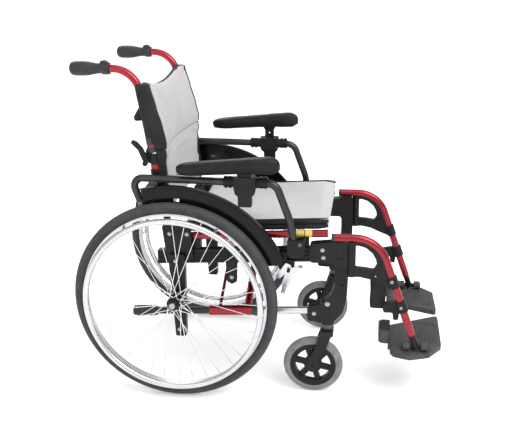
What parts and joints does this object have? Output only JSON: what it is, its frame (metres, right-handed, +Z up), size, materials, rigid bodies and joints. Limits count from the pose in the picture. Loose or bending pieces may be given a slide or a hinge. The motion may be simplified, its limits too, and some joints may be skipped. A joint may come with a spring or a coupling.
{
  "type": "manual wheelchair",
  "caption": "Folding manual wheelchair with spoked drive wheels, flip-back height-adjustable arms, half-folding back and swing-away footrests.",
  "frame": {"origin": "on the ground, under the middle of the chair's bounding box", "axes": "+Z up, -Y the way the chair faces, +X towards the sitter's left"},
  "size_m": [0.662, 1.086, 0.9978],
  "materials": {
    "black_paint": "satin black powder coat",
    "red_anodised": "metallic red, clear-coated",
    "silver": "brushed",
    "steel": "polished",
    "black_plastic": "moulded, fine grain",
    "gloss_plastic": "glossy",
    "arm_metal": "dark satin",
    "rubber": "soft grip",
    "foam_pad": "skinned foam",
    "tyre": "dark grey",
    "caster_tyre": "grey solid tyre on black hub",
    "fabric_grey": "light grey spacer mesh",
    "webbing": "black webbing",
    "button": "grey blue"
  },
  "bodies": {
    "right_frame": {"upper_rail_right": "black_paint", "lower_rail_right": "silver", "rear_bracket_right": "black_paint", "front_casting_right": "black_paint", "frame_bolts_right": "steel", "fender_right": "gloss_plastic", "arm_socket_right": "black_plastic", "brake_mount_right": "black_plastic", "back_lower": "fabric_grey"},
    "brace_right": {"cross_brace_right": "red_anodised"},
    "brace_left": {"cross_brace_left": "red_anodised"},
    "left_frame": {"upper_rail_left": "black_paint", "lower_rail_left": "silver", "rear_bracket_left": "black_paint", "front_casting_left": "black_paint", "frame_bolts_left": "steel", "fender_left": "gloss_plastic", "arm_socket_left": "black_plastic", "brake_mount_left": "black_plastic"},
    "seat": {"seat_sling": "fabric_grey"},
    "back_right": {"upper_cane_right": "red_anodised", "push_grip_right": "rubber", "back_upper": "fabric_grey"},
    "back_lever_right": {"back_latch_right": "black_plastic"},
    "arm_right": {"arm_tube_right": "arm_metal", "arm_holder_right": "black_plastic"},
    "arm_rest_right": {"arm_pad_right": "foam_pad"},
    "arm_button_right": {"arm_latch_right": "button"},
    "wheel_right": {"tyre_right": "tyre", "rim_right": "silver", "handrim_right": "silver", "spokes_right": "steel", "wheel_hub_right": "black_paint"},
    "caster_fork_right": {"caster_fork_right": "black_paint"},
    "caster_wheel_right": {"caster_wheel_right": "caster_tyre"},
    "hanger_right": {"hanger_tube_right": "red_anodised", "hanger_casting_right": "black_plastic", "footrest_tube_right": "black_paint", "calf_strap": "webbing"},
    "footplate_right": {"footplate_right": "black_plastic"},
    "brake_right": {"brake_lever_right": "silver"},
    "back_left": {"upper_cane_left": "red_anodised", "push_grip_left": "rubber"},
    "back_lever_left": {"back_latch_left": "black_plastic"},
    "arm_left": {"arm_tube_left": "arm_metal", "arm_holder_left": "black_plastic"},
    "arm_rest_left": {"arm_pad_left": "foam_pad"},
    "arm_button_left": {"arm_latch_left": "button"},
    "wheel_left": {"tyre_left": "tyre", "rim_left": "silver", "handrim_left": "silver", "spokes_left": "steel", "wheel_hub_left": "black_paint"},
    "caster_fork_left": {"caster_fork_left": "black_paint"},
    "caster_wheel_left": {"caster_wheel_left": "caster_tyre"},
    "hanger_left": {"hanger_tube_left": "red_anodised", "hanger_casting_left": "black_plastic", "footrest_tube_left": "black_paint"},
    "footplate_left": {"footplate_left": "black_plastic"},
    "brake_left": {"brake_lever_left": "silver"}
  },
  "joints": [
    {"name": "fold", "type": "hinge", "parent": "right_frame", "child": "brace_right", "pos_m": [-0.222, 0.035, 0.25874], "axis": [0, -0.9986, 0.0523], "range_deg": [0, 43], "deforming": ["seat_sling", "back_upper", "back_lower"]},
    {"name": "brace_cross", "type": "hinge", "parent": "brace_right", "child": "brace_left", "pos_m": [0, 0.035, 0.3797], "axis": [0, -0.9986, 0.0523], "range_deg": [-86, 0]},
    {"name": "left_frame_turn", "type": "hinge", "parent": "brace_left", "child": "left_frame", "pos_m": [0.222, 0.035, 0.25874], "axis": [0, -0.9986, 0.0523], "range_deg": [0, 43]},
    {"name": "seat_level", "type": "hinge", "parent": "brace_left", "child": "seat", "pos_m": [-0.213, 0.035, 0.49574], "axis": [0, -0.9986, 0.0523], "range_deg": [0, 43]},
    {"name": "back_fold_right", "type": "hinge", "parent": "right_frame", "child": "back_right", "pos_m": [-0.213, 0.31486, 0.733], "axis": [-1, 0, 0], "range_deg": [0, 95]},
    {"name": "back_lever_turn_right", "type": "hinge", "parent": "right_frame", "child": "back_lever_right", "pos_m": [-0.228, 0.317, 0.721], "axis": [1, 0, 0], "range_deg": [-25, 0], "stiffness_Nm_per_rad": 0.05, "springref_deg": 11.46},
    {"name": "arm_flip_right", "type": "hinge", "parent": "right_frame", "child": "arm_right", "pos_m": [-0.25, 0.334, 0.594], "axis": [-1, 0, 0], "range_deg": [0, 95]},
    {"name": "arm_height_right", "type": "slide", "parent": "arm_right", "child": "arm_rest_right", "axis": [0, 0, 1], "range_m": [0, 0.075]},
    {"name": "arm_button_press_right", "type": "slide", "parent": "right_frame", "child": "arm_button_right", "axis": [1, 0, 0], "range_m": [0, 0.003], "stiffness_N_per_m": 300, "springref_m": -0.001},
    {"name": "wheel_spin_right", "type": "hinge", "parent": "right_frame", "child": "wheel_right", "pos_m": [-0.286, 0.24, 0.305], "axis": [1, 0, 0], "continuous": true},
    {"name": "caster_swivel_right", "type": "hinge", "parent": "right_frame", "child": "caster_fork_right", "pos_m": [-0.216, -0.205, 0.25], "axis": [0, 0, 1], "continuous": true},
    {"name": "caster_spin_right", "type": "hinge", "parent": "caster_fork_right", "child": "caster_wheel_right", "pos_m": [-0.216, -0.163, 0.0896], "axis": [1, 0, 0], "continuous": true},
    {"name": "hanger_swing_right", "type": "hinge", "parent": "right_frame", "child": "hanger_right", "pos_m": [-0.229, -0.272, 0.45], "axis": [0, 0, -1], "range_deg": [0, 90]},
    {"name": "footplate_flip_right", "type": "hinge", "parent": "hanger_right", "child": "footplate_right", "pos_m": [-0.229, -0.46301, 0.172], "axis": [0, -1, 0], "range_deg": [0, 80]},
    {"name": "brake_turn_right", "type": "hinge", "parent": "right_frame", "child": "brake_right", "pos_m": [-0.24, -0.092, 0.402], "axis": [1, 0, 0], "range_deg": [0, 11]},
    {"name": "back_fold_left", "type": "hinge", "parent": "left_frame", "child": "back_left", "pos_m": [0.213, 0.31486, 0.733], "axis": [-1, 0, 0], "range_deg": [0, 95]},
    {"name": "back_lever_turn_left", "type": "hinge", "parent": "left_frame", "child": "back_lever_left", "pos_m": [0.228, 0.317, 0.721], "axis": [1, 0, 0], "range_deg": [-25, 0], "stiffness_Nm_per_rad": 0.05, "springref_deg": 11.46},
    {"name": "arm_flip_left", "type": "hinge", "parent": "left_frame", "child": "arm_left", "pos_m": [0.25, 0.334, 0.594], "axis": [-1, 0, 0], "range_deg": [0, 95]},
    {"name": "arm_height_left", "type": "slide", "parent": "arm_left", "child": "arm_rest_left", "axis": [0, 0, 1], "range_m": [-0.025, 0.05]},
    {"name": "arm_button_press_left", "type": "slide", "parent": "left_frame", "child": "arm_button_left", "axis": [-1, 0, 0], "range_m": [0, 0.003], "stiffness_N_per_m": 300, "springref_m": -0.001},
    {"name": "wheel_spin_left", "type": "hinge", "parent": "left_frame", "child": "wheel_left", "pos_m": [0.286, 0.24, 0.305], "axis": [1, 0, 0], "continuous": true},
    {"name": "caster_swivel_left", "type": "hinge", "parent": "left_frame", "child": "caster_fork_left", "pos_m": [0.216, -0.205, 0.25], "axis": [0, 0, 1], "continuous": true},
    {"name": "caster_spin_left", "type": "hinge", "parent": "caster_fork_left", "child": "caster_wheel_left", "pos_m": [0.216, -0.163, 0.0896], "axis": [1, 0, 0], "continuous": true},
    {"name": "hanger_swing_left", "type": "hinge", "parent": "left_frame", "child": "hanger_left", "pos_m": [0.229, -0.272, 0.45], "axis": [0, 0, 1], "range_deg": [0, 90]},
    {"name": "footplate_flip_left", "type": "hinge", "parent": "hanger_left", "child": "footplate_left", "pos_m": [0.229, -0.46301, 0.172], "axis": [0, 1, 0], "range_deg": [0, 80]},
    {"name": "brake_turn_left", "type": "hinge", "parent": "left_frame", "child": "brake_left", "pos_m": [0.24, -0.092, 0.402], "axis": [1, 0, 0], "range_deg": [0, 11]}
  ],
  "couplings": [
    {"joint": "brace_cross", "follows": "fold", "ratio": -2},
    {"joint": "left_frame_turn", "follows": "fold", "ratio": 1},
    {"joint": "seat_level", "follows": "fold", "ratio": 1},
    {"joint": "footplate_flip_right", "follows": "fold", "ratio": 1.8605},
    {"joint": "footplate_flip_left", "follows": "fold", "ratio": 1.8605},
    {"joint": "back_fold_left", "follows": "back_fold_right", "ratio": 1}
  ]
}
